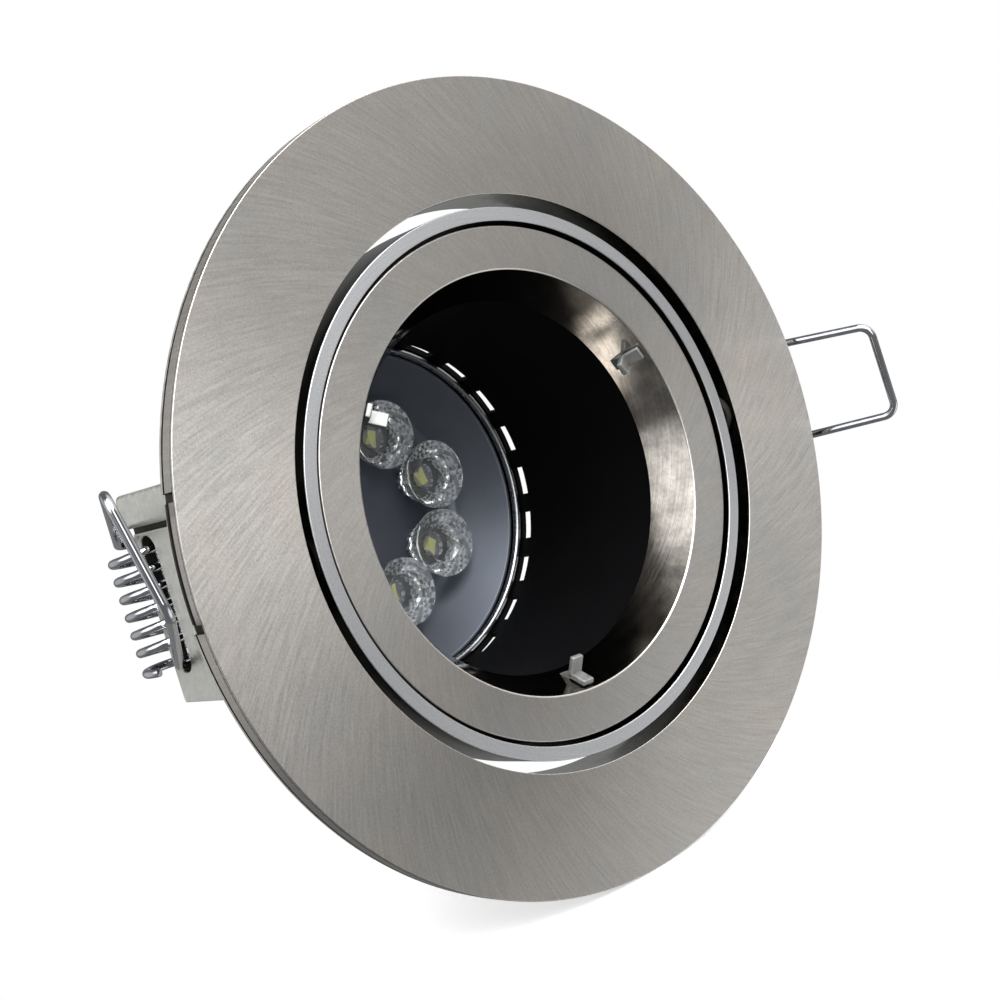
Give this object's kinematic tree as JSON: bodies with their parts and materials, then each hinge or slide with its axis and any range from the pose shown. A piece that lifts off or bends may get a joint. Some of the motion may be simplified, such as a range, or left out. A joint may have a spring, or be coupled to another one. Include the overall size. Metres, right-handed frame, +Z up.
{
  "type": "recessed downlight",
  "caption": "Recessed gimbal downlight: satin trim flange with wire spring clips, tilting ring, twist-off bezel and black baffle tube that holds a reflector lamp.",
  "frame": {"origin": "centre of the trim flange's rear face, the plane that lies on the ceiling", "axes": "+Y along the lamp axis into the ceiling void, -Y the way the light leaves, clips at -X and +X, +Z up as pictured"},
  "size_m": [0.1319, 0.1026, 0.11],
  "materials": {
    "satin_nickel": "satin brushed nickel plate",
    "black_enamel": "matt black enamel",
    "bright_steel": "bright zinc plate",
    "spring_wire": "bright drawn spring wire",
    "fibre_black": "matt fibre",
    "lamp_grey": "satin grey moulding",
    "lens_clear": "clear moulded optic",
    "emitter_yellow": "phosphor coated chip",
    "board_white": "white solder mask",
    "sink_aluminium": "bare die-cast fins",
    "base_white": "white heat-proof moulding",
    "contact_brass": "plain brass"
  },
  "bodies": {
    "housing": {"trim_flange": "satin_nickel", "pivot_screws": "bright_steel", "friction_washers": "fibre_black"},
    "gimbal": {"gimbal_ring": "satin_nickel"},
    "bezel": {"bezel_ring": "satin_nickel", "baffle_tube": "black_enamel", "split_tab_1": "bright_steel", "split_tab_2": "bright_steel", "split_tab_3": "bright_steel", "lamp_snap_ring": "spring_wire"},
    "lamp": {"lamp_dish": "lamp_grey", "led_board": "board_white", "led_1": "emitter_yellow", "led_2": "emitter_yellow", "led_3": "emitter_yellow", "led_4": "emitter_yellow", "led_5": "emitter_yellow", "led_6": "emitter_yellow", "led_7": "emitter_yellow", "lens_1": "lens_clear", "lens_2": "lens_clear", "lens_3": "lens_clear", "lens_4": "lens_clear", "lens_5": "lens_clear", "lens_6": "lens_clear", "lens_7": "lens_clear", "lamp_body": "sink_aluminium", "lamp_base": "base_white", "contact_pins": "contact_brass"},
    "clip_left": {"spring_left": "spring_wire"},
    "clip_right": {"spring_right": "spring_wire"}
  },
  "joints": [
    {"name": "gimbal_tilt", "type": "hinge", "parent": "housing", "child": "gimbal", "pos_m": [0, 0.0018, 0], "axis": [1, 0, 0], "range_deg": [-30, 30]},
    {"name": "bezel_twist", "type": "hinge", "parent": "gimbal", "child": "bezel", "pos_m": [0, 0, 0], "axis": [0, -1, 0], "range_deg": [0, 30]},
    {"name": "lamp_turn", "type": "hinge", "parent": "bezel", "child": "lamp", "pos_m": [0, 0, 0], "axis": [0, -1, 0], "continuous": true},
    {"name": "clip_left_swing", "type": "hinge", "parent": "housing", "child": "clip_left", "pos_m": [-0.0455, 0.0259, 0], "axis": [0, 0, -1], "range_deg": [0, 150], "stiffness_Nm_per_rad": 0.08},
    {"name": "clip_right_swing", "type": "hinge", "parent": "housing", "child": "clip_right", "pos_m": [0.0455, 0.0259, 0], "axis": [0, 0, 1], "range_deg": [0, 150], "stiffness_Nm_per_rad": 0.08}
  ]
}
